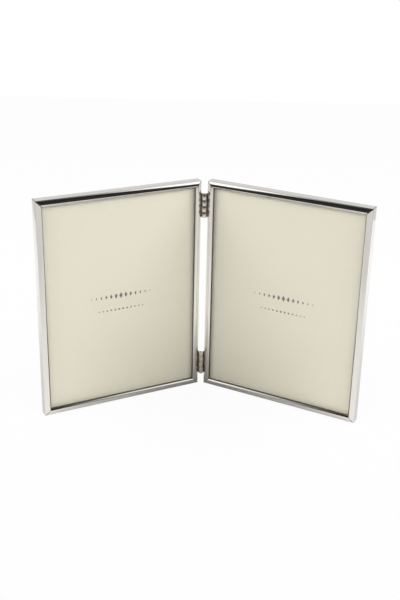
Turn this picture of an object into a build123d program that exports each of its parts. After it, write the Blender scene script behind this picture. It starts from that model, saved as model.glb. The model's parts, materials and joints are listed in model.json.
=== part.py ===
from build123d import *
import os
from math import cos, radians, sin, sqrt, tan

# Hinged double photo frame: two plated frames for a standing 6 x 8 in print, joined by two butt hinges.
# Millimetres, +Z up, fronts towards -Y. The origin is the middle of the footprint, on the table.

# The print and how far the frame stands open
PHOTO_WIDTH = 152.4
PHOTO_HEIGHT = 203.2
PHOTO_PLAY = 0.5
OPEN_ANGLE = 125.2

# Section of the moulding
BAR_WIDTH = 3.1
FACE_WIDTH = 5.9
LIP_DEPTH = 3.8
CROWN_RADIUS = 7.5
CROWN_INSET = 4.45
OUTER_EDGE_RADIUS = 0.4
BEVEL_ANGLE = 40.0
RIDGE_RADIUS = 0.6
SIGHT_EDGE_RADIUS = 0.3
BACK_EDGE_RADIUS = 0.3
REAR_RIM = 1.2
GROOVE_DEPTH = 1.2

# Layers in the rebate, from the glass to the back
GLASS_THICKNESS = 1.8
GLASS_PLAY = 0.3
SHEET_THICKNESS = 0.3
SHEET_GAP = 0.1
BOARD_THICKNESS = 1.8
BOARD_PLAY = 0.4

# Turn buttons on the backing board, and their rivets
BUTTON_THICKNESS = 0.8
BUTTON_WIDTH = 6.4
BUTTON_EYE_RADIUS = 3.6
BUTTON_PIVOT_INSET = 7.0
BUTTON_SPACING = 120.0
BUTTON_GAP = 0.1
BUTTON_TIP_PLAY = 0.4
BUTTON_GROOVE_PLAY = 0.2
BUTTON_RUNNING_FIT = 0.05
RIVET_RADIUS = 1.0
RIVET_HEAD_RADIUS = 1.9
RIVET_HEAD_EDGE = 0.25
RIVET_DOME = 0.4
RIVET_TAIL_RADIUS = 1.6
RIVET_TAIL_DEPTH = 0.6
RIVET_FIT = 0.03

# Butt hinges between the panels
KNUCKLE_RADIUS = 1.9
KNUCKLE_COUNT = 4
KNUCKLE_GAP = 0.15
HINGE_HEIGHT = 23.0
HINGE_INSET = 12.0
AXIS_AHEAD = 1.5
LEAF_THICKNESS = 0.8
LEAF_REACH = 7.0
LEAF_CORNER_RADIUS = 1.0
NOTCH_CLEARANCE = 0.3
PIN_RADIUS = 0.9
PIN_RUNNING_FIT = 0.05
PIN_END = 0.4
PIN_END_RADIUS = 0.35

# Screws of the hinge leaves
SCREW_RADIUS = 0.75
SCREW_HEAD_RADIUS = 1.35
SCREW_BITE = 2.2
SCREW_END = 5.5
SCREW_EDGE = 2.6
SCREW_LAND = 0.2
SCREW_FIT = 0.03
SLOT_WIDTH = 0.35
SLOT_DEPTH = 0.25

# Sizes that follow from those above
REBATE_WIDTH = PHOTO_WIDTH + 2 * PHOTO_PLAY
REBATE_HEIGHT = PHOTO_HEIGHT + 2 * PHOTO_PLAY
PANEL_WIDTH = REBATE_WIDTH + 2 * BAR_WIDTH
PANEL_HEIGHT = REBATE_HEIGHT + 2 * BAR_WIDTH
OUTER_DROP = CROWN_RADIUS - sqrt(CROWN_RADIUS**2 - CROWN_INSET**2)
SLOPE_DROP = CROWN_RADIUS - sqrt(CROWN_RADIUS**2 - (CROWN_INSET / 2) ** 2)
BEVEL_INSET = CROWN_INSET + RIDGE_RADIUS * sin(radians(BEVEL_ANGLE))
BEVEL_DROP = RIDGE_RADIUS - RIDGE_RADIUS * cos(radians(BEVEL_ANGLE))
RIDGE_INSET = CROWN_INSET + RIDGE_RADIUS * sin(radians(BEVEL_ANGLE / 2))
RIDGE_DROP = RIDGE_RADIUS - RIDGE_RADIUS * cos(radians(BEVEL_ANGLE / 2))
SIGHT_DROP = BEVEL_DROP + (FACE_WIDTH - BEVEL_INSET) * tan(radians(BEVEL_ANGLE))
SHEET_FRONT = LIP_DEPTH + GLASS_THICKNESS + SHEET_GAP
BOARD_FRONT = SHEET_FRONT + SHEET_THICKNESS
BOARD_BACK = BOARD_FRONT + BOARD_THICKNESS
BUTTON_FRONT = BOARD_BACK + BUTTON_GAP
BUTTON_BACK = BUTTON_FRONT + BUTTON_THICKNESS
GROOVE_FRONT = BUTTON_FRONT - BUTTON_GROOVE_PLAY
GROOVE_BACK = BUTTON_BACK + BUTTON_GROOVE_PLAY
PANEL_DEPTH = GROOVE_BACK + REAR_RIM
BUTTON_REACH = BUTTON_PIVOT_INSET + GROOVE_DEPTH - BUTTON_TIP_PLAY
TURN = (180 - OPEN_ANGLE) / 2
HINGE_FACE = KNUCKLE_RADIUS
OUTER_FACE = HINGE_FACE + PANEL_WIDTH
MIDDLE_X = HINGE_FACE + PANEL_WIDTH / 2
MIDDLE_Z = PANEL_HEIGHT / 2
LEAF_FRONT = sqrt((KNUCKLE_RADIUS + NOTCH_CLEARANCE) ** 2 - (KNUCKLE_RADIUS - LEAF_THICKNESS) ** 2)
LEAF_BACK = AXIS_AHEAD + LEAF_REACH
SCREW_Y = LEAF_BACK - SCREW_EDGE
SCREW_SINK = LEAF_THICKNESS - SCREW_LAND
HINGE_BOTTOMS = {
    "upper": PANEL_HEIGHT - HINGE_INSET - HINGE_HEIGHT,
    "lower": HINGE_INSET,
}
KNUCKLE_PITCH = (HINGE_HEIGHT + KNUCKLE_GAP) / KNUCKLE_COUNT
KNUCKLE_LENGTH = KNUCKLE_PITCH - KNUCKLE_GAP


def corner(face, depth, inset):
    """The corner of a section nearest to a point."""
    return face.vertices().sort_by_distance((depth, inset))[0]


def moulding_section():
    """Section of the moulding: x runs back from the crown of the front, y runs in from the outer side."""
    crown = ThreePointArc((OUTER_DROP, 0), (SLOPE_DROP, CROWN_INSET / 2), (0, CROWN_INSET))
    ridge = ThreePointArc((0, CROWN_INSET), (RIDGE_DROP, RIDGE_INSET), (BEVEL_DROP, BEVEL_INSET))
    rest = Polyline(
        (BEVEL_DROP, BEVEL_INSET),
        (SIGHT_DROP, FACE_WIDTH),
        (LIP_DEPTH, FACE_WIDTH),
        (LIP_DEPTH, BAR_WIDTH),
        (GROOVE_FRONT, BAR_WIDTH),
        (GROOVE_FRONT, BAR_WIDTH - GROOVE_DEPTH),
        (GROOVE_BACK, BAR_WIDTH - GROOVE_DEPTH),
        (GROOVE_BACK, BAR_WIDTH),
        (PANEL_DEPTH, BAR_WIDTH),
        (PANEL_DEPTH, 0),
        (OUTER_DROP, 0),
    )
    face = make_face(crown.edges() + ridge.edges() + rest.edges())
    face = fillet(corner(face, OUTER_DROP, 0), OUTER_EDGE_RADIUS)
    face = fillet(corner(face, SIGHT_DROP, FACE_WIDTH), SIGHT_EDGE_RADIUS)
    back_corners = [corner(face, PANEL_DEPTH, inset) for inset in (0, BAR_WIDTH)]
    return fillet([corner(face, LIP_DEPTH, FACE_WIDTH), *back_corners], BACK_EDGE_RADIUS)


def rail(length):
    """A length of moulding along +X, outer side down, mitred at both ends."""
    bar = extrude(Plane.YZ * moulding_section(), length)
    mitre = Polygon(
        (0, 0),
        (length, 0),
        (length - 2 * FACE_WIDTH, 2 * FACE_WIDTH),
        (2 * FACE_WIDTH, 2 * FACE_WIDTH),
        align=None,
    )
    return bar & extrude(Plane.XZ * mitre, 2 * PANEL_DEPTH, both=True)


def rails():
    """The four mitred rails of a panel."""
    across = rail(PANEL_WIDTH)
    upright = rail(PANEL_HEIGHT)
    hinge_stile = Pos(HINGE_FACE, AXIS_AHEAD, PANEL_HEIGHT) * Rot(0, 90, 0) * upright
    for bottom in HINGE_BOTTOMS.values():
        for z in screw_heights(bottom):
            hole = Cylinder(SCREW_RADIUS + SCREW_FIT, 2 * (SCREW_BITE + SCREW_FIT))
            hinge_stile -= Pos(HINGE_FACE, SCREW_Y, z) * Rot(0, 90, 0) * hole
    return {
        "bottom_rail": Pos(HINGE_FACE, AXIS_AHEAD, 0) * across,
        "top_rail": Pos(OUTER_FACE, AXIS_AHEAD, PANEL_HEIGHT) * Rot(0, 180, 0) * across,
        "hinge_stile": hinge_stile,
        "outer_stile": Pos(OUTER_FACE, AXIS_AHEAD, 0) * Rot(0, -90, 0) * upright,
    }


def layer(width, height, front, thickness):
    """A flat sheet in the middle of the panel, its front face at a depth behind the crown."""
    middle = AXIS_AHEAD + front + thickness / 2
    return Pos(MIDDLE_X, middle, MIDDLE_Z) * Box(width, thickness, height)


def button_pivots():
    """Where the turn buttons are riveted, with the turn that points each at its stile."""
    inset = BAR_WIDTH + BUTTON_PIVOT_INSET
    sides = {
        "outer": (OUTER_FACE - inset, 0),
        "hinge": (HINGE_FACE + inset, 180),
    }
    heights = {"top": MIDDLE_Z + BUTTON_SPACING / 2, "bottom": MIDDLE_Z - BUTTON_SPACING / 2}
    return {
        f"{side}_{height}": (x, z, turn)
        for side, (x, turn) in sides.items()
        for height, z in heights.items()
    }


def drilled(plate, radius):
    """A panel-sized plate with a hole at each turn button's pivot."""
    for x, z, _ in button_pivots().values():
        hole = Cylinder(radius, 4 * PANEL_DEPTH)
        plate -= Pos(x, AXIS_AHEAD, z) * Rot(90, 0, 0) * hole
    return plate


def backing_board():
    """Flocked board that closes the rebate, with countersunk rivet holes on its front."""
    width = REBATE_WIDTH - 2 * BOARD_PLAY
    height = REBATE_HEIGHT - 2 * BOARD_PLAY
    board = drilled(layer(width, height, BOARD_FRONT, BOARD_THICKNESS), RIVET_RADIUS + RIVET_FIT)
    for x, z, _ in button_pivots().values():
        sink = Cone(RIVET_RADIUS + RIVET_FIT, RIVET_TAIL_RADIUS + RIVET_FIT, RIVET_TAIL_DEPTH)
        board -= Pos(x, AXIS_AHEAD + BOARD_FRONT + RIVET_TAIL_DEPTH / 2, z) * Rot(90, 0, 0) * sink
    return board


def turn_button():
    """A stamped button, pivot at the origin, tip along +X, front face on the XZ plane, back towards +Y."""
    half = BUTTON_WIDTH / 2
    shank = sqrt(BUTTON_REACH**2 - half**2)
    tip = Line((0, -half), (shank, -half))
    tip += ThreePointArc((shank, -half), (BUTTON_REACH, 0), (shank, half))
    tip += Polyline((shank, half), (0, half), (0, -half))
    outline = make_face(tip.edges()) + Circle(BUTTON_EYE_RADIUS)
    outline -= Circle(RIVET_RADIUS + BUTTON_RUNNING_FIT)
    return extrude(Plane.XZ * outline, -BUTTON_THICKNESS)


def rivet():
    """A rivet along +Y: its countersunk tail at the board's front, its domed head behind the button."""
    head_front = BUTTON_BACK - BOARD_FRONT + RIVET_FIT
    shoulder = head_front + RIVET_HEAD_EDGE
    top = shoulder + RIVET_DOME
    stem = Polyline(
        (0, top),
        (0, RIVET_FIT),
        (RIVET_TAIL_RADIUS, RIVET_FIT),
        (RIVET_RADIUS, RIVET_TAIL_DEPTH + RIVET_FIT),
        (RIVET_RADIUS, head_front),
        (RIVET_HEAD_RADIUS, head_front),
        (RIVET_HEAD_RADIUS, shoulder),
    )
    dome = TangentArc((0, top), (RIVET_HEAD_RADIUS, shoulder), tangent=(1, 0))
    return revolve(make_face(stem.edges() + dome.edges()), Axis.Y)


def screw_heights(bottom):
    """Heights of the two screws in a hinge leaf that starts at a height, each near one end of it."""
    return (bottom + SCREW_END, bottom + HINGE_HEIGHT - SCREW_END)


def screw():
    """A slotted countersunk screw along +X, the leaf's seat on the stile at x = 0."""
    face = -LEAF_THICKNESS
    outline = Polyline(
        (face, 0),
        (face, SCREW_HEAD_RADIUS),
        (face + SCREW_SINK, SCREW_RADIUS),
        (SCREW_BITE, SCREW_RADIUS),
        (SCREW_BITE, 0),
        (face, 0),
    )
    body = revolve(make_face(outline.edges()), Axis.X)
    return body - Pos(face, 0, 0) * Box(2 * SLOT_DEPTH, 3 * SCREW_HEAD_RADIUS, SLOT_WIDTH)


def hinge_leaf(bottom, own_slots):
    """One leaf, with the knuckles in own_slots counted from the top, and notches for the other leaf's."""
    seat = HINGE_FACE - LEAF_THICKNESS / 2
    plate_size = LEAF_BACK - LEAF_FRONT
    plate = Pos(seat, (LEAF_BACK + LEAF_FRONT) / 2, bottom + HINGE_HEIGHT / 2) * Box(
        LEAF_THICKNESS, plate_size, HINGE_HEIGHT
    )
    back_edges = plate.edges().filter_by(Axis.X).group_by(Axis.Y)[-1]
    leaf = fillet(back_edges, LEAF_CORNER_RADIUS)
    for slot in own_slots:
        middle = bottom + HINGE_HEIGHT - slot * KNUCKLE_PITCH - KNUCKLE_LENGTH / 2
        leaf += Pos(seat, LEAF_FRONT / 2, middle) * Box(LEAF_THICKNESS, LEAF_FRONT, KNUCKLE_LENGTH)
        leaf += Pos(0, 0, middle) * Cylinder(KNUCKLE_RADIUS, KNUCKLE_LENGTH)
        leaf -= Pos(0, 0, middle) * Cylinder(PIN_RADIUS + PIN_RUNNING_FIT, 2 * KNUCKLE_LENGTH)
    for z in screw_heights(bottom):
        hole = Cylinder(SCREW_RADIUS + SCREW_FIT, 4 * LEAF_THICKNESS)
        cone = Cone(SCREW_HEAD_RADIUS + SCREW_FIT, SCREW_RADIUS + SCREW_FIT, SCREW_SINK)
        leaf -= Pos(HINGE_FACE, SCREW_Y, z) * Rot(0, 90, 0) * hole
        leaf -= Pos(HINGE_FACE - LEAF_THICKNESS + SCREW_SINK / 2, SCREW_Y, z) * Rot(0, 90, 0) * cone
    return leaf


def hinge_pin(bottom):
    """The pin of one hinge, its rounded ends just clear of the knuckles."""
    pin = Cylinder(PIN_RADIUS, HINGE_HEIGHT + 2 * PIN_END)
    pin = fillet(pin.edges().filter_by(GeomType.CIRCLE), PIN_END_RADIUS)
    return Pos(0, 0, bottom + HINGE_HEIGHT / 2) * pin


def panel(own_slots):
    """Every piece of one panel, lying along +X from the hinge axis, by its plain name."""
    pieces = rails()
    glass_width = REBATE_WIDTH - 2 * GLASS_PLAY
    glass_height = REBATE_HEIGHT - 2 * GLASS_PLAY
    pieces["glass"] = layer(glass_width, glass_height, LIP_DEPTH, GLASS_THICKNESS)
    pieces["insert_sheet"] = layer(PHOTO_WIDTH, PHOTO_HEIGHT, SHEET_FRONT, SHEET_THICKNESS)
    pieces["backing_board"] = backing_board()
    rivets = Part()
    for place_name, (x, z, turn) in button_pivots().items():
        button = Pos(x, AXIS_AHEAD + BUTTON_FRONT, z) * Rot(0, turn, 0) * turn_button()
        pieces[f"turn_button_{place_name}"] = button
        rivets += Pos(x, AXIS_AHEAD + BOARD_FRONT, z) * rivet()
    pieces["button_rivets"] = rivets
    screws = Part()
    for hinge, bottom in HINGE_BOTTOMS.items():
        pieces[f"{hinge}_hinge_leaf"] = hinge_leaf(bottom, own_slots)
        for z in screw_heights(bottom):
            screws += Pos(HINGE_FACE, SCREW_Y, z) * screw()
    pieces["hinge_screws"] = screws
    return pieces


# The two panels swing about the hinge axis, the left one the mirror image of the right one
nodes = {}
for name, piece in panel(own_slots=range(0, KNUCKLE_COUNT, 2)).items():
    nodes[f"left_{name}"] = Rot(0, 0, TURN) * mirror(piece, about=Plane.YZ)
for name, piece in panel(own_slots=range(1, KNUCKLE_COUNT, 2)).items():
    nodes[f"right_{name}"] = Rot(0, 0, -TURN) * piece
for hinge, bottom in HINGE_BOTTOMS.items():
    nodes[f"{hinge}_hinge_pin"] = hinge_pin(bottom)

# The hinge axis stands behind the middle of the footprint
box = Compound(nodes.values()).bounding_box()
AXIS_Y = -(box.min.Y + box.max.Y) / 2

os.makedirs("parts", exist_ok=True)
for name, piece in nodes.items():
    export_step(Pos(0, AXIS_Y, 0) * piece, f"parts/{name}.step")
print("hinge axis at y =", round(AXIS_Y, 4), "panel", PANEL_WIDTH, PANEL_HEIGHT, PANEL_DEPTH)
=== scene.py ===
import json
from math import atan2, cos, pi, radians, sin, sqrt, tan

import bmesh
import bpy
from mathutils import Matrix, Vector


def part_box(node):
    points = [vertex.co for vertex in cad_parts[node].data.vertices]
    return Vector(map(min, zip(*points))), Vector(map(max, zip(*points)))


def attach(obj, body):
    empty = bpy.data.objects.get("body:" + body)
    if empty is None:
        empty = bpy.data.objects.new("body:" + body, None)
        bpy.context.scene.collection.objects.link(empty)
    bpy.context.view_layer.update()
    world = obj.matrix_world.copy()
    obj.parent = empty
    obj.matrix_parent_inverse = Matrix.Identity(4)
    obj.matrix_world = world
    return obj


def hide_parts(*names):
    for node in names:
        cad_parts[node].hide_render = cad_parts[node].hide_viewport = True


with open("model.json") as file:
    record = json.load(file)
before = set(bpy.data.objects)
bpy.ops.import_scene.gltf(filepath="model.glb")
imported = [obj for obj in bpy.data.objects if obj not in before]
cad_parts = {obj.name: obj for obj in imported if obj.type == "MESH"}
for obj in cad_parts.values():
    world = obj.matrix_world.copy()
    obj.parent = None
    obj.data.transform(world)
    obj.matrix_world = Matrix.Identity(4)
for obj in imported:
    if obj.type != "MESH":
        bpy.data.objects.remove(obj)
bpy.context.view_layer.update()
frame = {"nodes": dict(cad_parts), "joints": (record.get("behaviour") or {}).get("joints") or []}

# Moulding of the two panels
# Four lengths of brass bar with a crowned front, a bevelled sight edge and a lip for the glass are mitred
# and soldered at each panel's corners, silver plated and polished. Only a hairline shows at the mitres.
mm = 0.001
sides = ("left", "right")
fold = next(joint for joint in frame["joints"] if joint["name"] == "fold")
hinge_axis = Vector((fold["pos_m"][0], fold["pos_m"][1], 0))
open_angle = -radians(fold["range_deg"][0])
panel_turn = (pi - open_angle) / 2


def panel_space(side):
    """From a panel's own space, x out from the hinge axis, y back, z up, to the part's frame."""
    if side == "right":
        return Matrix.Translation(hinge_axis) @ Matrix.Rotation(-panel_turn, 4, "Z")
    mirrored = Matrix.Scale(-1, 4, Vector((1, 0, 0)))
    return Matrix.Translation(hinge_axis) @ Matrix.Rotation(panel_turn, 4, "Z") @ mirrored


def panel_box(side, piece):
    """Lowest and highest corner of a CAD node in its panel's own space."""
    to_panel = panel_space(side).inverted()
    corners = [to_panel @ vertex.co for vertex in frame["nodes"][f"{side}_{piece}"].data.vertices]
    low = Vector([min(corner[i] for corner in corners) for i in range(3)])
    high = Vector([max(corner[i] for corner in corners) for i in range(3)])
    return low, high


rail_low, rail_high = panel_box("right", "top_rail")
glass_low = panel_box("right", "glass")[0]
button_low, button_high = panel_box("right", "turn_button_outer_top")
hinge_face = rail_low.x
outer_face = rail_high.x
crown_plane = rail_low.y
panel_height = rail_high.z
panel_depth = rail_high.y - rail_low.y
face_width = rail_high.z - rail_low.z
lip_depth = glass_low.y - crown_plane
bar_width = 3.1 * mm
crown_radius = 7.5 * mm
crown_inset = 4.45 * mm
outer_edge_radius = 0.4 * mm
bevel_angle = radians(40)
ridge_radius = 0.6 * mm
sight_edge_radius = 0.3 * mm
back_edge_radius = 0.3 * mm
groove_depth = 1.2 * mm
groove_play = 0.2 * mm
mitre_bevel = 0.2 * mm
sharp_edge = radians(40)
seam_width = 0.6 * mm
# Painted shade darkens and roughens the silver over the sight edge and lip wall, standing in for the shade of
# the recess behind the lip; the dark mitre seams share this darkening
lip_shade_width = 0.1 * mm
outer_lip_shade_width = 0.45 * mm
shade_and_seam_depth = 0.95
shade_and_seam_roughness = 0.4


def arc(centre, radius, start, end, steps):
    """Points along an arc, from one angle to another."""
    angles = [start + (end - start) * step / steps for step in range(steps + 1)]
    return [(centre[0] + radius * cos(angle), centre[1] + radius * sin(angle)) for angle in angles]


def moulding_outline():
    """Section of the moulding: how far in from the outer side, and how far behind the crown."""
    crown = (crown_inset, crown_radius)
    outer_reach = crown_inset - outer_edge_radius
    outer_drop = sqrt((crown_radius - outer_edge_radius) ** 2 - outer_reach**2)
    outer = (outer_edge_radius, crown_radius - outer_drop)
    to_outer = atan2(-outer_drop, -outer_reach)
    to_bevel = bevel_angle - pi / 2
    ridge = (crown_inset, ridge_radius)
    bevel_drop = (face_width - sight_edge_radius - crown_inset) * tan(bevel_angle)
    edge_drop = (sight_edge_radius - ridge_radius) / cos(bevel_angle)
    sight = (face_width - sight_edge_radius, ridge_radius + bevel_drop + edge_drop)
    round_back = back_edge_radius
    groove_front = button_low.y - groove_play - crown_plane
    groove_back = button_high.y + groove_play - crown_plane
    points = arc(outer, outer_edge_radius, -pi, to_outer, 16)
    points += arc(crown, crown_radius, to_outer, -pi / 2, 24)[1:]
    points += arc(ridge, ridge_radius, -pi / 2, to_bevel, 8)[1:]
    points += arc(sight, sight_edge_radius, to_bevel, 0, 8)
    points += arc((face_width - round_back, lip_depth - round_back), round_back, 0, pi / 2, 4)
    points += [(bar_width, lip_depth), (bar_width, groove_front)]
    points += [(bar_width - groove_depth, groove_front), (bar_width - groove_depth, groove_back)]
    points += [(bar_width, groove_back)]
    points += arc((bar_width - round_back, panel_depth - round_back), round_back, 0, pi / 2, 4)
    points += arc((round_back, panel_depth - round_back), round_back, pi / 2, pi, 4)
    return points


def add_object(name, data):
    """A new object at the origin, in the scene."""
    made = bpy.data.objects.new(name, data)
    bpy.context.scene.collection.objects.link(made)
    return made


def flat_curve(name, *outlines):
    """A flat curve of closed outlines."""
    curve = bpy.data.curves.new(name, "CURVE")
    curve.dimensions = "2D"
    curve.fill_mode = "NONE"
    for outline in outlines:
        spline = curve.splines.new("POLY")
        spline.points.add(len(outline) - 1)
        for point, (x, y) in zip(spline.points, outline):
            point.co = (x, y, 0, 1)
        spline.use_cyclic_u = True
    return add_object(name, curve)


def node(tree, kind, inputs=None, **settings):
    """Adds a node; an input is given a value, or the socket that feeds it."""
    made = tree.nodes.new(kind)
    for name, value in settings.items():
        setattr(made, name, value)
    for name, value in (inputs or {}).items():
        if isinstance(value, bpy.types.NodeSocket):
            tree.links.new(value, made.inputs[name])
        else:
            made.inputs[name].default_value = value
    return made


def shape_tree(name, **inputs):
    """An empty Geometry Nodes tree with named inputs, its input node and its output node."""
    tree = bpy.data.node_groups.new(name, "GeometryNodeTree")
    tree.interface.new_socket("Geometry", in_out="INPUT", socket_type="NodeSocketGeometry")
    for label, kind in inputs.items():
        tree.interface.new_socket(label, in_out="INPUT", socket_type=f"NodeSocket{kind}")
    tree.interface.new_socket("Geometry", in_out="OUTPUT", socket_type="NodeSocketGeometry")
    return tree, tree.nodes.new("NodeGroupInput"), tree.nodes.new("NodeGroupOutput")


def position(tree):
    """The x, y and z of each point, as the outputs of one node."""
    where = node(tree, "GeometryNodeInputPosition").outputs[0]
    return node(tree, "ShaderNodeSeparateXYZ", {"Vector": where}).outputs


def vector(tree, **parts):
    """A vector of the parts given, each a number or a socket."""
    return node(tree, "ShaderNodeCombineXYZ", parts).outputs[0]


def end_tree(tree, result, geometry, material):
    """Ends a tree: what it placed is made real and given its material."""
    real = node(tree, "GeometryNodeRealizeInstances", {"Geometry": geometry})
    finished = node(
        tree,
        "GeometryNodeSetMaterial",
        {"Geometry": real.outputs["Geometry"], "Material": material},
    )
    tree.links.new(finished.outputs["Geometry"], result.inputs["Geometry"])
    return tree


def grow(name, tree, **values):
    """An object whose shape comes from a Geometry Nodes tree with these inputs."""
    made = add_object(name, bpy.data.meshes.new(name))
    modifier = made.modifiers.new("shape", "NODES")
    modifier.node_group = tree
    for item in tree.interface.items_tree:
        if item.in_out == "INPUT" and item.name in values:
            modifier[item.identifier] = values[item.name]
    return made


def plain_mesh(made):
    """The evaluated shape of an object as a plain mesh; the object itself is removed."""
    bpy.context.view_layer.update()
    shown = made.evaluated_get(bpy.context.evaluated_depsgraph_get())
    mesh = bpy.data.meshes.new_from_object(shown)
    bpy.data.objects.remove(made)
    return mesh


def place(name, mesh, space, material=None):
    """A finished piece at the origin, its mesh moved to where it belongs and its faces outwards."""
    mesh.transform(space)
    if space.is_negative:
        mesh.flip_normals()
    if material:
        mesh.materials.clear()
        mesh.materials.append(material)
    mesh.name = name
    return add_object(name, mesh)


def finish_material(name):
    """A new node material: its tree, its shader and the object's own coordinates."""
    material = bpy.data.materials.new(name)
    material.use_nodes = True
    tree = material.node_tree
    shader = tree.nodes["Principled BSDF"]
    coordinates = tree.nodes.new("ShaderNodeTexCoord").outputs["Object"]
    return material, tree, shader, coordinates


def spread(tree, value, low, high):
    """A 0 to 1 value spread over another range."""
    inputs = {"Value": value, "To Min": low, "To Max": high}
    return node(tree, "ShaderNodeMapRange", inputs).outputs["Result"]


def blend_colour(tree, share, first, second):
    """A colour between two others, each a plain colour or a socket."""
    colours = {0: share}
    for place_in_node, colour in ((6, first), (7, second)):
        colours[place_in_node] = colour if isinstance(colour, bpy.types.NodeSocket) else (*colour, 1)
    return node(tree, "ShaderNodeMix", colours, data_type="RGBA").outputs[2]


def math(tree, operation, *values):
    """The result of a sum on numbers or sockets."""
    return node(tree, "ShaderNodeMath", dict(enumerate(values)), operation=operation).outputs[0]


def noise(tree, coordinates, scale, detail):
    """Soft noise from 0 to 1, finer at a higher scale and rougher with more detail."""
    made = node(tree, "ShaderNodeTexNoise", {"Vector": coordinates, "Scale": scale, "Detail": detail})
    return made.outputs["Fac"]


def mark(tree, name):
    """A mark that the mesh carries, from 0 to 1."""
    return node(tree, "ShaderNodeAttribute", attribute_name=name).outputs["Fac"]


def dress(tree, shader, colour, roughness):
    """Gives a shader its colour and its roughness."""
    tree.links.new(colour, shader.inputs["Base Color"])
    tree.links.new(roughness, shader.inputs["Roughness"])


def emboss(tree, shader, height, strength, depth):
    """Gives a shader fine relief, from a height of 0 to 1 and a depth in metres."""
    bump = node(tree, "ShaderNodeBump", {"Strength": strength, "Distance": depth, "Height": height})
    tree.links.new(bump.outputs["Normal"], shader.inputs["Normal"])


def silver_plate():
    """Mirror-polished silver plate, faintly clouded by the wheel, with painted shade on the lip wall and
    sight edge, and dark mitre seams.
    """
    material, tree, shader, coordinates = finish_material("silver_plate")
    clouds = noise(tree, coordinates, scale=90.0, detail=3.0)
    waves = noise(tree, coordinates, scale=140.0, detail=1.0)
    seam = mark(tree, "seam")
    # Painted shade on the lip wall and sight edge, and the real dark joints at the mitre seams
    shade_and_seam = math(tree, "MAXIMUM", mark(tree, "recess"), seam)
    bright = blend_colour(tree, clouds, (0.95, 0.92, 0.87), (0.92, 0.89, 0.845))
    shade_and_seam_colour = blend_colour(tree, seam, (0.12, 0.11, 0.097), (0.04, 0.036, 0.032))
    tint = blend_colour(tree, math(tree, "MULTIPLY", shade_and_seam, shade_and_seam_depth), bright, shade_and_seam_colour)
    polish = spread(tree, clouds, low=0.025, high=0.06)
    shader.inputs["Metallic"].default_value = 1.0
    dress(tree, shader, tint, math(tree, "MULTIPLY_ADD", shade_and_seam, shade_and_seam_roughness, polish))
    emboss(tree, shader, waves, strength=0.6, depth=0.004 * mm)
    return material


def moulding_tree():
    """A length of moulding along x, mitred at both ends, with its seams marked, and painted shade marked from
    its sight edge back over the side of its lip.
    """
    tree, given, result = shape_tree(
        "mitred_moulding",
        Section="Object",
        Length="Float",
        Face="Float",
        Recess="Float",
        Seam="Float",
        Finish="Material",
    )
    length = given.outputs["Length"]
    face = given.outputs["Face"]
    recess = given.outputs["Recess"]
    section = node(tree, "GeometryNodeObjectInfo", {"Object": given.outputs["Section"]})
    # Painted shade: from the sight edge into the lip the silver is marked to darken, ramping in over the
    # given width
    fully_shaded = 0.6
    inset = math(tree, "MULTIPLY", position(tree)["Y"], -1.0)
    shade_ramp = node(
        tree,
        "ShaderNodeMapRange",
        {
            "Value": inset,
            "From Min": math(tree, "SUBTRACT", face, recess),
            "From Max": math(tree, "MULTIPLY_ADD", recess, -fully_shaded, face),
        },
    )
    outline = node(
        tree,
        "GeometryNodeStoreNamedAttribute",
        {
            "Geometry": section.outputs["Geometry"],
            "Name": "recess",
            "Value": shade_ramp.outputs["Result"],
        },
        data_type="FLOAT",
    )
    # Four stations: the two ends, and where the mark of each seam has faded out
    line = node(tree, "GeometryNodeCurvePrimitiveLine", {"End": vector(tree, X=length)})
    stations = node(tree, "GeometryNodeResampleCurve", {"Curve": line.outputs["Curve"], "Count": 4})
    share = node(tree, "GeometryNodeSplineParameter").outputs["Factor"]
    spaced = node(
        tree,
        "ShaderNodeMapRange",
        {
            "Value": share,
            "From Min": 1 / 3,
            "From Max": 2 / 3,
            "To Min": given.outputs["Seam"],
            "To Max": math(tree, "SUBTRACT", length, given.outputs["Seam"]),
        },
        clamp=False,
    )
    kept = node(tree, "ShaderNodeClamp", {"Value": spaced.outputs["Result"], "Max": length})
    path = node(
        tree,
        "GeometryNodeSetPosition",
        {"Geometry": stations.outputs["Curve"], "Position": vector(tree, X=kept.outputs[0])},
    )
    marked_path = node(
        tree,
        "GeometryNodeStoreNamedAttribute",
        {
            "Geometry": path.outputs["Geometry"],
            "Name": "seam",
            "Value": node(tree, "GeometryNodeCurveEndpointSelection").outputs[0],
        },
        data_type="FLOAT",
    )
    bar = node(
        tree,
        "GeometryNodeCurveToMesh",
        {
            "Curve": marked_path.outputs["Geometry"],
            "Profile Curve": outline.outputs["Geometry"],
            "Fill Caps": True,
        },
    )
    where = position(tree)
    lean = math(tree, "MULTIPLY_ADD", math(tree, "DIVIDE", where["X"], length), -2.0, 1.0)
    shift = math(tree, "MULTIPLY", lean, where["Z"])
    mitred = node(
        tree,
        "GeometryNodeSetPosition",
        {"Geometry": bar.outputs["Mesh"], "Offset": vector(tree, X=shift)},
    )
    return end_tree(tree, result, mitred.outputs["Geometry"], given.outputs["Finish"])


def rounded(made, width, segments=2):
    """Rounds the sharp edges of an object and keeps its broad faces flat to the eye."""
    bevel = made.modifiers.new("edges", "BEVEL")
    bevel.width = width
    bevel.segments = segments
    bevel.limit_method = "ANGLE"
    bevel.angle_limit = sharp_edge
    made.modifiers.new("normals", "WEIGHTED_NORMAL")
    return made


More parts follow.
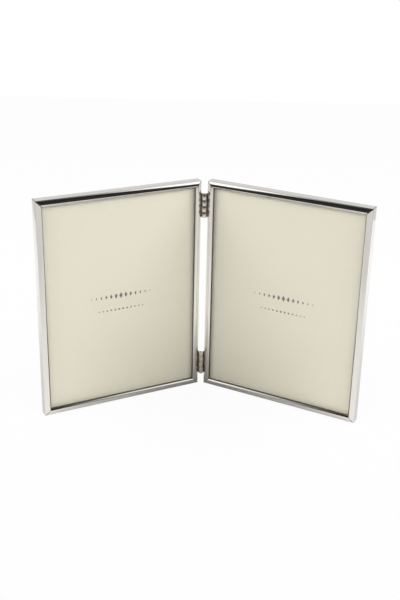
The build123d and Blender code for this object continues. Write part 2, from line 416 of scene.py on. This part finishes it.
silver = silver_plate()
moulding = moulding_tree()
swept_outline = [(-depth, -inset) for inset, depth in reversed(moulding_outline())]
section = flat_curve("moulding_section", swept_outline)
panel_width = outer_face - hinge_face
# The last figure of each rail is the width of painted shade at its sight edge
rails = {
    "bottom_rail": (panel_width, (hinge_face, 0), 0, lip_shade_width),
    "top_rail": (panel_width, (outer_face, panel_height), pi, lip_shade_width),
    "hinge_stile": (panel_height, (hinge_face, panel_height), pi / 2, lip_shade_width),
    "outer_stile": (panel_height, (outer_face, 0), -pi / 2, outer_lip_shade_width),
}
for side in sides:
    for rail, (length, (x, z), spin, recess) in rails.items():
        sizes = {"Length": length, "Face": face_width, "Recess": recess, "Seam": seam_width}
        bar = grow("bar", moulding, Section=section, Finish=silver, **sizes)
        mesh = plain_mesh(rounded(bar, mitre_bevel))
        mesh.shade_smooth()
        seat = Matrix.Translation((x, crown_plane, z)) @ Matrix.Rotation(spin, 4, "Y")
        piece = place(f"{side}_{rail}_moulding", mesh, panel_space(side) @ seat)
        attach(piece, f"{side}_panel")
        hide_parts(f"{side}_{rail}")
bpy.data.objects.remove(section)

# Glass panes
# A pane of clear float glass lies against the back of each lip. Its edges are ground to a small arris after
# cutting, and only the board behind it holds it in place.
glass_arris = 0.25 * mm
head_on_shine = 0.04


def slab(name, low, high):
    """A flat sheet between two corners."""
    shape = bmesh.new()
    bmesh.ops.create_cube(shape)
    for vertex in shape.verts:
        vertex.co = [high[i] if vertex.co[i] > 0 else low[i] for i in range(3)]
    mesh = bpy.data.meshes.new(name)
    shape.to_mesh(mesh)
    shape.free()
    return add_object(name, mesh)


def clear_glass():
    """Clear float glass: it shows what is behind it, under a faint reflection that grows at a slant."""
    material, tree, shader, coordinates = finish_material("clear_glass")
    tree.nodes.remove(shader)
    wiped = noise(tree, coordinates, scale=35.0, detail=4.0)
    shine = spread(tree, wiped, low=0.0, high=0.03)
    gloss = node(tree, "ShaderNodeBsdfGlossy", {"Color": (1, 1, 1, 1), "Roughness": shine})
    through = node(tree, "ShaderNodeBsdfTransparent", {"Color": (0.985, 0.992, 0.987, 1)})
    slant = node(tree, "ShaderNodeLayerWeight", {"Blend": 0.5}).outputs["Facing"]
    share = math(tree, "MULTIPLY_ADD", math(tree, "POWER", slant, 5.0), 1 - head_on_shine, head_on_shine)
    mixed = node(tree, "ShaderNodeMixShader", {0: share, 1: through.outputs[0], 2: gloss.outputs[0]})
    tree.links.new(mixed.outputs[0], tree.nodes["Material Output"].inputs["Surface"])
    return material


float_glass = clear_glass()
for side in sides:
    pane = rounded(slab("pane", *panel_box(side, "glass")), glass_arris, segments=1)
    piece = place(f"{side}_glass_pane", plain_mesh(pane), panel_space(side), float_glass)
    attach(piece, f"{side}_panel")
    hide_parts(f"{side}_glass")

# Insert sheets
# A sheet of satin ivory paper stands behind each pane, where a photograph will go. A row of lozenges over a
# row of dots is printed across its middle in grey ink.
ink_thickness = 0.02 * mm
ink_lift = 0.01 * mm
paper_tooth = 2600.0
paper_shine = 0.3


def ivory_paper():
    """Uncoated ivory paper with a satin finish: soft clouds of paler fibre and a fine tooth."""
    material, tree, shader, coordinates = finish_material("ivory_paper")
    cloud = noise(tree, coordinates, scale=420.0, detail=5.0)
    tooth = noise(tree, coordinates, scale=paper_tooth, detail=3.0)
    ivory = blend_colour(tree, cloud, (0.745, 0.69, 0.57), (0.785, 0.73, 0.61))
    shader.inputs["Specular IOR Level"].default_value = paper_shine
    dress(tree, shader, ivory, spread(tree, tooth, low=0.5, high=0.68))
    emboss(tree, shader, tooth, strength=0.25, depth=0.02 * mm)
    return material


def grey_ink():
    """Grey printing ink, a little uneven where the paper's tooth takes less of it."""
    material, tree, shader, coordinates = finish_material("grey_ink")
    tooth = noise(tree, coordinates, scale=paper_tooth, detail=3.0)
    grey = blend_colour(tree, tooth, (0.1, 0.098, 0.092), (0.17, 0.166, 0.152))
    shader.inputs["Specular IOR Level"].default_value = paper_shine
    dress(tree, shader, grey, spread(tree, tooth, low=0.45, high=0.65))
    return material


def figure_row_tree():
    """A row of flat printed figures along x that grow smaller towards both ends."""
    tree, given, result = shape_tree(
        "figure_row",
        Count="Int",
        Pitch="Float",
        Corners="Int",
        Width="Float",
        Height="Float",
        Taper="Float",
        Thickness="Float",
        Ink="Material",
    )
    steps = math(tree, "SUBTRACT", given.outputs["Count"], 1.0)
    half_span = math(tree, "MULTIPLY", math(tree, "MULTIPLY", steps, given.outputs["Pitch"]), 0.5)
    first = vector(tree, X=math(tree, "MULTIPLY", half_span, -1.0))
    pitch = vector(tree, X=given.outputs["Pitch"])
    spots = node(
        tree,
        "GeometryNodeMeshLine",
        {"Count": given.outputs["Count"], "Start Location": first, "Offset": pitch},
    )
    figure = node(
        tree,
        "GeometryNodeMeshCylinder",
        {"Vertices": given.outputs["Corners"], "Radius": 0.5, "Depth": given.outputs["Thickness"]},
    )
    outwards = math(tree, "DIVIDE", math(tree, "ABSOLUTE", position(tree)["X"]), half_span)
    shrink = math(tree, "SUBTRACT", 1.0, math(tree, "MULTIPLY", outwards, given.outputs["Taper"]))
    width = math(tree, "MULTIPLY", shrink, given.outputs["Width"])
    height = math(tree, "MULTIPLY", shrink, given.outputs["Height"])
    figures = node(
        tree,
        "GeometryNodeInstanceOnPoints",
        {
            "Points": spots.outputs["Mesh"],
            "Instance": figure.outputs["Mesh"],
            "Scale": vector(tree, X=width, Y=height, Z=1.0),
        },
    )
    return end_tree(tree, result, figures.outputs["Instances"], given.outputs["Ink"])


paper = ivory_paper()
ink = grey_ink()
figure_row = figure_row_tree()
row_heights = {"lozenges": 2.6 * mm, "dots": -11.1 * mm}
row_figures = {
    "lozenges": {"Corners": 4, "Width": 3.4 * mm, "Height": 6.2 * mm},
    "dots": {"Corners": 24, "Width": 2.0 * mm, "Height": 2.0 * mm},
}
row_spacings = {
    "lozenges": {"Count": 13, "Pitch": 4.9 * mm, "Taper": 0.7},
    "dots": {"Count": 12, "Pitch": 4.0 * mm, "Taper": 0.4},
}
for side in sides:
    frame["nodes"][f"{side}_insert_sheet"].material_slots[0].material = paper
    sheet_low, sheet_high = panel_box(side, "insert_sheet")
    sheet_middle = (sheet_low + sheet_high) / 2
    ink_depth = sheet_low.y - ink_lift - ink_thickness / 2
    for row, row_height in row_heights.items():
        pattern = {**row_figures[row], **row_spacings[row]}
        printed = grow("printed", figure_row, Thickness=ink_thickness, Ink=ink, **pattern)
        row_middle = Vector((sheet_middle.x, ink_depth, sheet_middle.z + row_height))
        seat = Matrix.Translation(row_middle) @ Matrix.Rotation(pi / 2, 4, "X")
        piece = place(f"{side}_sheet_{row}", plain_mesh(printed), panel_space(side) @ seat)
        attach(piece, f"{side}_panel")

# Backing boards
# Fibreboard covered with black flock closes the back of each panel and presses the sheet against the glass.
# Four rivets go through it, countersunk on the side of the sheet.


def black_flock():
    """Short black nylon pile: matt, with a faint sheen and clouds where the nap is brushed another way."""
    material, tree, shader, coordinates = finish_material("black_flock")
    nap = noise(tree, coordinates, scale=38.0, detail=3.0)
    pile = noise(tree, coordinates, scale=3200.0, detail=2.0)
    black = blend_colour(tree, nap, (0.009, 0.009, 0.01), (0.022, 0.022, 0.024))
    shader.inputs["Specular IOR Level"].default_value = 0.15
    shader.inputs["Sheen Weight"].default_value = 0.25
    shader.inputs["Sheen Roughness"].default_value = 0.45
    dress(tree, shader, black, spread(tree, pile, low=0.85, high=1.0))
    emboss(tree, shader, pile, strength=0.8, depth=0.1 * mm)
    return material


flock = black_flock()
for side in sides:
    frame["nodes"][f"{side}_backing_board"].material_slots[0].material = flock

# Turn buttons
# Four buttons stamped from bright steel strip are riveted to each board. Their tips swing into the grooves
# of the stiles and keep the board in. The press leaves a rounded edge on each.
eye_radius = 3.6 * mm
button_width = 6.4 * mm
button_reach = 7.8 * mm
button_hole = 1.05 * mm
button_edge = 0.16 * mm
hole_corners = 28
weld_distance = 0.0001 * mm
# How dark painted shade makes the brushed metals where their mesh is marked for it
painted_shade_strength = 0.8


def brushed_metal(name, pale, dark, smooth, rough, grain):
    """Bright metal, with painted shade where its mesh is marked for it, and fine upright brushing that is
    grain times finer across.
    """
    material, tree, shader, coordinates = finish_material(name)
    stretched = node(tree, "ShaderNodeMapping", {"Vector": coordinates, "Scale": (grain, grain, 1.0)})
    brushing = noise(tree, stretched.outputs[0], scale=260.0, detail=4.0)
    wear = noise(tree, coordinates, scale=700.0, detail=2.0)
    # Painted shade where the mesh is marked, standing in for the shadow in the hinge's gaps
    shade_amount = math(tree, "MULTIPLY", mark(tree, "recess"), painted_shade_strength)
    clean = blend_colour(tree, wear, pale, dark)
    shader.inputs["Metallic"].default_value = 1.0
    tint = blend_colour(tree, shade_amount, clean, (0.05, 0.045, 0.038))
    dress(tree, shader, tint, spread(tree, brushing, low=smooth, high=rough))
    emboss(tree, shader, brushing, strength=0.3, depth=0.006 * mm)
    return material


def thick_plate(name, thickness, *outlines):
    """A plate of even thickness about the xy plane, cut to an outline, with holes if more are given."""
    drawn = flat_curve(name, *outlines)
    drawn.data.fill_mode = "BOTH"
    drawn.data.extrude = thickness / 2
    mesh = plain_mesh(drawn)
    shape = bmesh.new()
    shape.from_mesh(mesh)
    bmesh.ops.remove_doubles(shape, verts=shape.verts, dist=weld_distance)
    bmesh.ops.recalc_face_normals(shape, faces=shape.faces)
    shape.to_mesh(mesh)
    shape.free()
    mesh.shade_smooth()
    return add_object(name, mesh)


def ring(centre, radius, corners):
    """A closed circle of corners."""
    return arc(centre, radius, 0, 2 * pi * (corners - 1) / corners, corners - 1)


def button_outline():
    """The stamped outline: a round eye about the pivot, and a tip that ends in an arc about it too."""
    half = button_width / 2
    tip_angle = atan2(half, sqrt(button_reach**2 - half**2))
    eye_angle = atan2(half, sqrt(eye_radius**2 - half**2))
    tip = arc((0, 0), button_reach, -tip_angle, tip_angle, 10)
    return tip + arc((0, 0), eye_radius, eye_angle, 2 * pi - eye_angle, 32)


button_steel = brushed_metal(
    "button_steel", (0.64, 0.63, 0.61), (0.55, 0.54, 0.52), smooth=0.2, rough=0.38, grain=14.0
)
button_thickness = button_high.y - button_low.y
for side in sides:
    for stile in ("outer", "hinge"):
        for end in ("top", "bottom"):
            name = f"{side}_turn_button_{stile}_{end}"
            low, high = panel_box(side, f"turn_button_{stile}_{end}")
            pivot_x = low.x + eye_radius if stile == "outer" else high.x - eye_radius
            facing = 0 if stile == "outer" else pi
            hole = ring((0, 0), button_hole, hole_corners)
            button = thick_plate("button", button_thickness, button_outline(), hole)
            mesh = plain_mesh(rounded(button, button_edge))
            seat = (
                Matrix.Translation((pivot_x, (low.y + high.y) / 2, (low.z + high.z) / 2))
                @ Matrix.Rotation(facing, 4, "Y")
                @ Matrix.Rotation(-pi / 2, 4, "X")
            )
            piece = place(f"{name}_stamping", mesh, panel_space(side) @ seat, button_steel)
            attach(piece, name)
            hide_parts(name)

# Button rivets
# Each button turns on a small nickel-plated rivet with a domed head, set from the back through the board
# and spread into a countersink on its front.
rivet_radius = 1.0 * mm
rivet_head_radius = 1.9 * mm
rivet_head_edge = 0.25 * mm
rivet_dome = 0.4 * mm
rivet_tail_radius = 1.6 * mm
rivet_tail_depth = 0.6 * mm
turned_crease = radians(38)


def lathe(name, outline, steps):
    """A turned shape from an outline of radius and height, about z."""
    shape = bmesh.new()
    points = [shape.verts.new((radius, 0, height)) for radius, height in outline]
    edges = [shape.edges.new(pair) for pair in zip(points, points[1:])]
    bmesh.ops.spin(
        shape,
        geom=points + edges,
        axis=(0, 0, 1),
        cent=(0, 0, 0),
        angle=2 * pi,
        steps=steps,
        use_merge=True,
    )
    bmesh.ops.remove_doubles(shape, verts=shape.verts, dist=weld_distance)
    bmesh.ops.recalc_face_normals(shape, faces=shape.faces)
    mesh = bpy.data.meshes.new(name)
    shape.to_mesh(mesh)
    shape.free()
    mesh.shade_smooth()
    mesh.set_sharp_from_angle(angle=turned_crease)
    return add_object(name, mesh)


def rivet_outline(length):
    """Half of a rivet's section, from the middle of its tail to the top of its domed head."""
    shoulder = length - rivet_dome
    head_front = shoulder - rivet_head_edge
    dome_radius = (rivet_head_radius**2 + rivet_dome**2) / (2 * rivet_dome)
    rim = atan2(dome_radius - rivet_dome, rivet_head_radius)
    dome = arc((0, length - dome_radius), dome_radius, rim, pi / 2, 10)
    tail = [(0, 0), (rivet_tail_radius, 0), (rivet_radius, rivet_tail_depth), (rivet_radius, head_front)]
    return tail + [(rivet_head_radius, head_front)] + dome[:-1] + [(0, length)]


def rivet_tree():
    """One rivet at each corner of an upright rectangle about the origin."""
    tree, given, result = shape_tree(
        "rivet_corners", Rivet="Object", Across="Float", Upright="Float", Finish="Material"
    )
    sheet = node(
        tree,
        "GeometryNodeMeshGrid",
        {
            "Size X": given.outputs["Across"],
            "Size Y": given.outputs["Upright"],
            "Vertices X": 2,
            "Vertices Y": 2,
        },
    )
    upright = node(
        tree, "GeometryNodeTransform", {"Geometry": sheet.outputs["Mesh"], "Rotation": (pi / 2, 0, 0)}
    )
    rivet = node(tree, "GeometryNodeObjectInfo", {"Object": given.outputs["Rivet"]})
    set_in = node(
        tree,
        "GeometryNodeInstanceOnPoints",
        {"Points": upright.outputs["Geometry"], "Instance": rivet.outputs["Geometry"]},
    )
    return end_tree(tree, result, set_in.outputs["Instances"], given.outputs["Finish"])


rivet_nickel = brushed_metal(
    "rivet_nickel", (0.74, 0.72, 0.68), (0.62, 0.6, 0.56), smooth=0.14, rough=0.26, grain=1.0
)
rivet_corners = rivet_tree()
for side in sides:
    low, high = panel_box(side, "button_rivets")
    rivet = lathe("rivet", rivet_outline(high.y - low.y), steps=32)
    rivet.data.transform(Matrix.Rotation(-pi / 2, 4, "X"))
    spans = {
        "Across": high.x - low.x - 2 * rivet_head_radius,
        "Upright": high.z - low.z - 2 * rivet_head_radius,
    }
    set_of_four = grow("rivets", rivet_corners, Rivet=rivet, Finish=rivet_nickel, **spans)
    middle = Matrix.Translation(((low.x + high.x) / 2, low.y, (low.z + high.z) / 2))
    piece = place(f"{side}_rivet_heads", plain_mesh(set_of_four), panel_space(side) @ middle)
    bpy.data.objects.remove(rivet)
    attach(piece, f"{side}_panel")
    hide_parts(f"{side}_button_rivets")

# Hinge leaves
# Each leaf is cut from nickel-plated strip: tabs at its front are rolled round the pin into knuckles, and
# the flat part is screwed to the side of a hinge stile. The rolled end stops just short of the leaf.
leaf_thickness = 0.8 * mm
notch_clearance = 0.3 * mm
knuckle_count = 4
knuckle_gap = 0.15 * mm
knuckle_bore = 0.95 * mm
knuckle_edge = 0.08 * mm
leaf_edge = 0.12 * mm
leaf_corner = 1.0 * mm
roll_stop = radians(62)
tab_overlap = 0.5 * mm
leaf_crease = radians(50)
screw_edge = 2.6 * mm
screw_end = 5.5 * mm
screw_sink_radius = 1.38 * mm
sink_corners = 32
own_knuckles = {"left": (0, 2), "right": (1, 3)}

# Behind the pin, in radii of the barrel: where the tab leaves the roll, and where painted shade starts and
# ends
tab_start = 0.5
leaf_shade_start = 0.5
leaf_shade_slope = 3
leaf_shade_end = 2.2

# Stands a plate that is drawn flat on its edge: its x points back, its y up
on_edge = Matrix(((0, 0, 1, 0), (1, 0, 0, 0), (0, 1, 0, 0), (0, 0, 0, 1)))


def rolled_outline(radius, tab_end):
    """A strip along y that curls forward round the pin, from the seat of its tab to its cut end."""
    inner_face = radius - leaf_thickness
    outside = arc((0, 0), radius, 0, roll_stop - 2 * pi, 56)
    inside = arc((0, 0), knuckle_bore, roll_stop - 2 * pi, 0, 40)
    tab = [(inner_face, tab_start * radius), (inner_face, tab_end)]
    return [(radius, tab_end)] + outside + inside + tab


def leaf_outline(front, back, height):
    """The flat of a leaf, its back corners rounded."""
    top = arc((back - leaf_corner, height - leaf_corner), leaf_corner, pi / 2, 0, 8)
    bottom = arc((back - leaf_corner, leaf_corner), leaf_corner, 0, -pi / 2, 8)
    return [(front, 0), (front, height)] + top + bottom


def with_edges(made, width, space):
    """An object made plain with rounded edges, and moved to its place."""
    name = made.name
    mesh = plain_mesh(rounded(made, width))
    mesh.transform(space)
    return add_object(name, mesh)


def hinge_leaf(side, hinge):
    """One leaf in its panel's own space: knuckles and flat in one, with painted shade marked just behind the
    pin.
    """
    low, high = panel_box(side, f"{hinge}_hinge_leaf")
    radius = high.x
    height = high.z - low.z
    front = sqrt((radius + notch_clearance) ** 2 - (radius - leaf_thickness) ** 2)
    holes = [
        ring((high.y - screw_edge, z), screw_sink_radius, sink_corners)
        for z in (screw_end, height - screw_end)
    ]
    flat = thick_plate("flat", leaf_thickness, leaf_outline(front, high.y, height), *holes)
    seat = Matrix.Translation((radius - leaf_thickness / 2, 0, low.z)) @ on_edge
    flat = with_edges(flat, leaf_edge, seat)
    pitch = (height + knuckle_gap) / knuckle_count
    length = pitch - knuckle_gap
    knuckles = []
    for number in own_knuckles[side]:
        roll = thick_plate("roll", length, rolled_outline(radius, front + tab_overlap))
        middle = high.z - number * pitch - length / 2
        roll = with_edges(roll, knuckle_edge, Matrix.Translation((0, 0, middle)))
        union = flat.modifiers.new("knuckle", "BOOLEAN")
        union.operation = "UNION"
        union.solver = "EXACT"
        union.object = roll
        knuckles.append(roll)
    mesh = plain_mesh(flat)
    for roll in knuckles:
        bpy.data.objects.remove(roll)
    mesh.set_sharp_from_angle(angle=leaf_crease)
    # Painted shade in the gap beside the barrel, which lies in deep shadow
    recess = mesh.attributes.new("recess", "FLOAT", "POINT")
    for vertex, shade_amount in zip(mesh.vertices, recess.data):
        behind = vertex.co.y / radius
        begun = min(max(leaf_shade_slope * (behind - leaf_shade_start), 0), 1)
        shade_amount.value = begun * min(max(leaf_shade_end - behind, 0), 1)
    return mesh


hinge_nickel = brushed_metal(
    "hinge_nickel", (0.86, 0.8, 0.71), (0.72, 0.665, 0.59), smooth=0.16, rough=0.3, grain=0.25
)
for side in sides:
    for hinge in ("upper", "lower"):
        leaf = hinge_leaf(side, hinge)
        piece = place(f"{side}_{hinge}_rolled_leaf", leaf, panel_space(side), hinge_nickel)
        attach(piece, f"{side}_panel")
        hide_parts(f"{side}_{hinge}_hinge_leaf")

# Hinge screws
# Two slotted countersunk steel screws hold each leaf to its stile, their heads flush with the leaf.
screw_radius = 0.75 * mm
screw_head_radius = 1.35 * mm
screw_sink = 0.6 * mm
screw_bite = 2.2 * mm
screw_rim = 0.06 * mm
slot_width = 0.35 * mm
slot_depth = 0.25 * mm


def slotted_screw():
    """A screw along x, its head at x = 0, with the slot upright."""
    end = leaf_thickness + screw_bite
    half_section = [
        (0, 0),
        (screw_head_radius - screw_rim, 0),
        (screw_head_radius, screw_rim),
        (screw_radius, screw_sink),
        (screw_radius, end - screw_radius / 2),
        (screw_radius / 2, end),
        (0, end),
    ]
    turned = lathe("screw", half_section, steps=40)
    reach = 2 * screw_head_radius
    half = slot_width / 2
    slot_outline = [(-half, -reach), (half, -reach), (half, reach), (-half, reach)]
    bar = thick_plate("slot", 2 * slot_depth, slot_outline)
    cut = turned.modifiers.new("slot", "BOOLEAN")
    cut.operation = "DIFFERENCE"
    cut.solver = "EXACT"
    cut.object = bar
    mesh = plain_mesh(turned)
    bpy.data.objects.remove(bar)
    mesh.transform(on_edge)
    mesh.set_sharp_from_angle(angle=turned_crease)
    return add_object("screw", mesh)


def screw_tree():
    """Two screws in each of two hinges, one above the other along z."""
    tree, given, result = shape_tree(
        "hinge_screws", Screw="Object", Hinge_Pitch="Float", Screw_Pitch="Float", Finish="Material"
    )
    screw = node(tree, "GeometryNodeObjectInfo", {"Object": given.outputs["Screw"]})
    screw_step = vector(tree, Z=given.outputs["Screw_Pitch"])
    hinge_step = vector(tree, Z=given.outputs["Hinge_Pitch"])
    pair_spots = node(tree, "GeometryNodeMeshLine", {"Count": 2, "Offset": screw_step})
    hinge_spots = node(tree, "GeometryNodeMeshLine", {"Count": 2, "Offset": hinge_step})
    pair = node(
        tree,
        "GeometryNodeInstanceOnPoints",
        {"Points": pair_spots.outputs["Mesh"], "Instance": screw.outputs["Geometry"]},
    )
    pairs = node(
        tree,
        "GeometryNodeInstanceOnPoints",
        {"Points": hinge_spots.outputs["Mesh"], "Instance": pair.outputs["Instances"]},
    )
    return end_tree(tree, result, pairs.outputs["Instances"], given.outputs["Finish"])


screw_steel = brushed_metal(
    "screw_steel", (0.62, 0.585, 0.53), (0.5, 0.47, 0.42), smooth=0.16, rough=0.3, grain=1.0
)
screw_lines = screw_tree()
for side in sides:
    upper_low = panel_box(side, "upper_hinge_leaf")[0]
    lower_low, lower_high = panel_box(side, "lower_hinge_leaf")
    screw = slotted_screw()
    spans = {
        "Hinge_Pitch": upper_low.z - lower_low.z,
        "Screw_Pitch": lower_high.z - lower_low.z - 2 * screw_end,
    }
    screws = grow("screws", screw_lines, Screw=screw, Finish=screw_steel, **spans)
    first = Vector((hinge_face - leaf_thickness, lower_high.y - screw_edge, lower_low.z + screw_end))
    seat = panel_space(side) @ Matrix.Translation(first)
    piece = place(f"{side}_screw_heads", plain_mesh(screws), seat)
    bpy.data.objects.remove(screw)
    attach(piece, f"{side}_panel")
    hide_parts(f"{side}_hinge_screws")

# Hinge pins
# A steel pin runs through the knuckles of each hinge, held by the left leaf. Its ends are tumbled round.
pin_end_radius = 0.45 * mm
for hinge in ("upper", "lower"):
    low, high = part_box(f"{hinge}_hinge_pin")
    radius = (high.x - low.x) / 2
    length = high.z - low.z
    bottom = arc((radius - pin_end_radius, pin_end_radius), pin_end_radius, -pi / 2, 0, 6)
    top = arc((radius - pin_end_radius, length - pin_end_radius), pin_end_radius, 0, pi / 2, 6)
    pin = lathe("pin", [(0, 0), *bottom, *top, (0, length)], steps=40)
    seat = Matrix.Translation(((low.x + high.x) / 2, (low.y + high.y) / 2, low.z))
    piece = place(f"{hinge}_round_pin", plain_mesh(pin), seat, screw_steel)
    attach(piece, "left_panel")
    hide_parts(f"{hinge}_hinge_pin")

# Stage: table and light tent
# A white table, with painted shade between the panels and painted light that brightens it towards its back,
# in a tent that glows behind the frame and in a band on either hand. The tent's dark front, ceiling and foot
# draw the dark lines along the polished rails.
table_front = -0.75
table_back = 1.4
table_half = 0.57
dim_front = -0.42
bright_back = 0.3
front_painted_level = 0.43
back_painted_level = 0.95
shade_start = 0.03
shade_end = 0.14
shaded_paint = 0.5
shadow_share = 0.04


def seen_white(tree):
    """1 for what the camera sees, straight or through the glass, which is white there."""
    path = tree.nodes.new("ShaderNodeLightPath").outputs
    return math(tree, "MAXIMUM", path["Is Camera Ray"], path["Is Transmission Ray"])


table_mesh = bpy.data.meshes.new("table_top")
table_mesh.from_pydata(
    [
        (-table_half, table_front, 0),
        (table_half, table_front, 0),
        (table_half, table_back, 0),
        (-table_half, table_back, 0),
    ],
    [],
    [(0, 1, 2, 3)],
)
table = add_object("table_top", table_mesh)
table_paint = bpy.data.materials.new("table_white")
table_paint.use_nodes = True
tree = table_paint.node_tree
tree.nodes.remove(tree.nodes["Principled BSDF"])
spot = tree.nodes.new("ShaderNodeTexCoord").outputs["Object"]
# Painted light and shade: the table's colour darkens towards the front and brightens towards the back
towards_back = node(tree, "ShaderNodeSeparateXYZ", {"Vector": spot}).outputs["Y"]
painted_light_gradient = node(
    tree,
    "ShaderNodeMapRange",
    {
        "Value": towards_back,
        "From Min": dim_front,
        "From Max": bright_back,
        "To Min": front_painted_level,
        "To Max": back_painted_level,
    },
)
# Painted shade on the table between the panels, around the hinge
from_middle = node(tree, "ShaderNodeVectorMath", {0: spot}, operation="LENGTH")
painted_shade_between_panels = node(
    tree,
    "ShaderNodeMapRange",
    {
        "Value": from_middle.outputs["Value"],
        "From Min": shade_start,
        "From Max": shade_end,
        "To Min": shaded_paint,
        "To Max": 1.0,
    },
)
painted_light_level = math(tree, "MULTIPLY", painted_light_gradient.outputs["Result"], painted_shade_between_panels.outputs["Result"])
paint = node(tree, "ShaderNodeBsdfDiffuse", {"Color": painted_light_level})
glow = node(tree, "ShaderNodeEmission", {"Color": (1, 1, 1, 1), "Strength": 1.0})
glow_share = math(tree, "MULTIPLY", seen_white(tree), 1 - shadow_share)
mixed = node(tree, "ShaderNodeMixShader", {0: glow_share, 1: paint.outputs[0], 2: glow.outputs[0]})
tree.links.new(mixed.outputs[0], tree.nodes["Material Output"].inputs["Surface"])
table_mesh.materials.append(table_paint)

world = bpy.data.worlds.new("light_tent")
bpy.context.scene.world = world
world.use_nodes = True
tree = world.node_tree
tree.nodes.clear()
direction = tree.nodes.new("ShaderNodeTexCoord").outputs["Generated"]
height = node(tree, "ShaderNodeSeparateXYZ", {"Vector": direction}).outputs["Z"]
level = node(tree, "ShaderNodeVectorMath", {0: direction, 1: (1, 1, 0)}, operation="MULTIPLY")
flat = node(tree, "ShaderNodeVectorMath", {0: level.outputs[0]}, operation="NORMALIZE")
backward = node(tree, "ShaderNodeSeparateXYZ", {"Vector": flat.outputs[0]}).outputs["Y"]
forward = math(tree, "MULTIPLY", backward, -1.0)


def step_up(value, low, high):
    """0 below low, 1 above high, smooth between them."""
    made = node(
        tree,
        "ShaderNodeMapRange",
        {"Value": value, "From Min": low, "From Max": high},
        interpolation_type="SMOOTHSTEP",
    )
    return made.outputs["Result"]


def below(low, high):
    """1 below one elevation in degrees, 0 above the other, smooth between them."""
    return math(tree, "SUBTRACT", 1.0, step_up(height, sin(radians(low)), sin(radians(high))))


def ahead(outer, inner):
    """1 within one azimuth of the viewer's side in degrees, 0 beyond the other, smooth between them."""
    return step_up(forward, cos(radians(outer)), cos(radians(inner)))


def painted(share, under, over):
    """One brightness over another where share is 1."""
    return node(tree, "ShaderNodeMix", {0: share, 2: under, 3: over}, data_type="FLOAT").outputs[0]


# Elevations at which a part of the tent ends
band_foot = (12, 15)
band_head = (34, 40)
haze_head = (48, 58)
ceiling_foot = (36, 40)
roof_foot = (58, 66)
wall_head = (35, 60)

# Azimuths from the viewer's side at which a part of the tent ends
opening_edge = (54.5, 51.5)
haze_edge = (61, 50)
band_end = (104, 98)
ceiling_end = (115, 95)
foot_end = (105, 90)
wall_start = (134.43, 101.54)

# Brightness of each part of the tent
tent_cloth = 0.6
wall_cloth = 0.68
band_glow = 1.3
haze_glow = 0.9
ceiling_dark = 0.025
roof_dark = 0.05
opening_dark = 0.02
foot_dark = 0.03

band_width = math(tree, "SUBTRACT", ahead(*band_end), ahead(*opening_edge))
band_height = math(tree, "SUBTRACT", below(*band_head), below(*band_foot))
haze_width = math(tree, "SUBTRACT", ahead(*band_end), ahead(*haze_edge))
haze_height = math(tree, "SUBTRACT", below(*haze_head), below(*band_head))
above_opening = math(tree, "SUBTRACT", 1.0, below(*ceiling_foot))
above_haze = math(tree, "SUBTRACT", 1.0, below(*roof_foot))
behind = math(tree, "SUBTRACT", 1.0, ahead(*wall_start))
wall = math(tree, "MULTIPLY", behind, below(*wall_head))
tent = painted(wall, tent_cloth, wall_cloth)
tent = painted(math(tree, "MULTIPLY", ahead(*ceiling_end), above_opening), tent, ceiling_dark)
tent = painted(above_haze, tent, roof_dark)
tent = painted(math(tree, "MULTIPLY", band_width, band_height), tent, band_glow)
tent = painted(math(tree, "MULTIPLY", haze_width, haze_height), tent, haze_glow)
tent = painted(math(tree, "MULTIPLY", ahead(*opening_edge), below(*ceiling_foot)), tent, opening_dark)
tent = painted(math(tree, "MULTIPLY", ahead(*foot_end), below(*band_foot)), tent, foot_dark)
tent = painted(seen_white(tree), tent, 1.0)
sky = node(tree, "ShaderNodeBackground", {"Color": (1, 1, 1, 1), "Strength": tent})
output = tree.nodes.new("ShaderNodeOutputWorld")
tree.links.new(sky.outputs[0], output.inputs["Surface"])
bpy.context.scene.view_settings.view_transform = "Standard"

# Lamps behind white cloth, in pairs: azimuth and elevation in degrees, and power. They light the frame
# without showing in the metal, and those on the left are a little weaker.
lamp_distance = 1.3
lamp_size = 0.5
lamp_aim = Vector((0, 0, 0.1))
lamp_pairs = {"front": (12, 32, 3.3), "corner": (45, 19, 3.45), "side": (77, 36, 7.2)}
hand_shares = {-1: 0.94, 1: 1.03}
for name, (azimuth, elevation, power) in lamp_pairs.items():
    for hand, share in hand_shares.items():
        towards = Vector((0, -1, 0))
        towards.rotate(Matrix.Rotation(-radians(elevation), 3, "X"))
        towards.rotate(Matrix.Rotation(hand * radians(azimuth), 3, "Z"))
        lamp_data = bpy.data.lights.new(f"{name}_softbox", "AREA")
        lamp_data.shape = "SQUARE"
        lamp_data.size = lamp_size
        lamp_data.energy = power * share
        lamp = add_object(f"{name}_softbox", lamp_data)
        lamp.location = lamp_aim + lamp_distance * towards
        lamp.rotation_euler = (lamp_aim - lamp.location).to_track_quat("-Z", "Y").to_euler()
        lamp.visible_glossy = False

# Camera: the viewpoint of the photo
# A little above the frame, looking down at the open panels with a short telephoto lens.
camera_place = Vector((0.002264, -0.83275, 0.46503))
look_aside = radians(0.2931)
look_down = radians(23.4)
camera_roll = radians(1.2086)
camera_data = bpy.data.cameras.new("camera")
camera_data.lens = 58.224
camera_data.sensor_width = 36
camera = add_object("camera", camera_data)
camera.matrix_world = (
    Matrix.Translation(camera_place)
    @ Matrix.Rotation(look_aside, 4, "Z")
    @ Matrix.Rotation(pi / 2 - look_down, 4, "X")
    @ Matrix.Rotation(camera_roll, 4, "Z")
)
bpy.context.scene.camera = camera
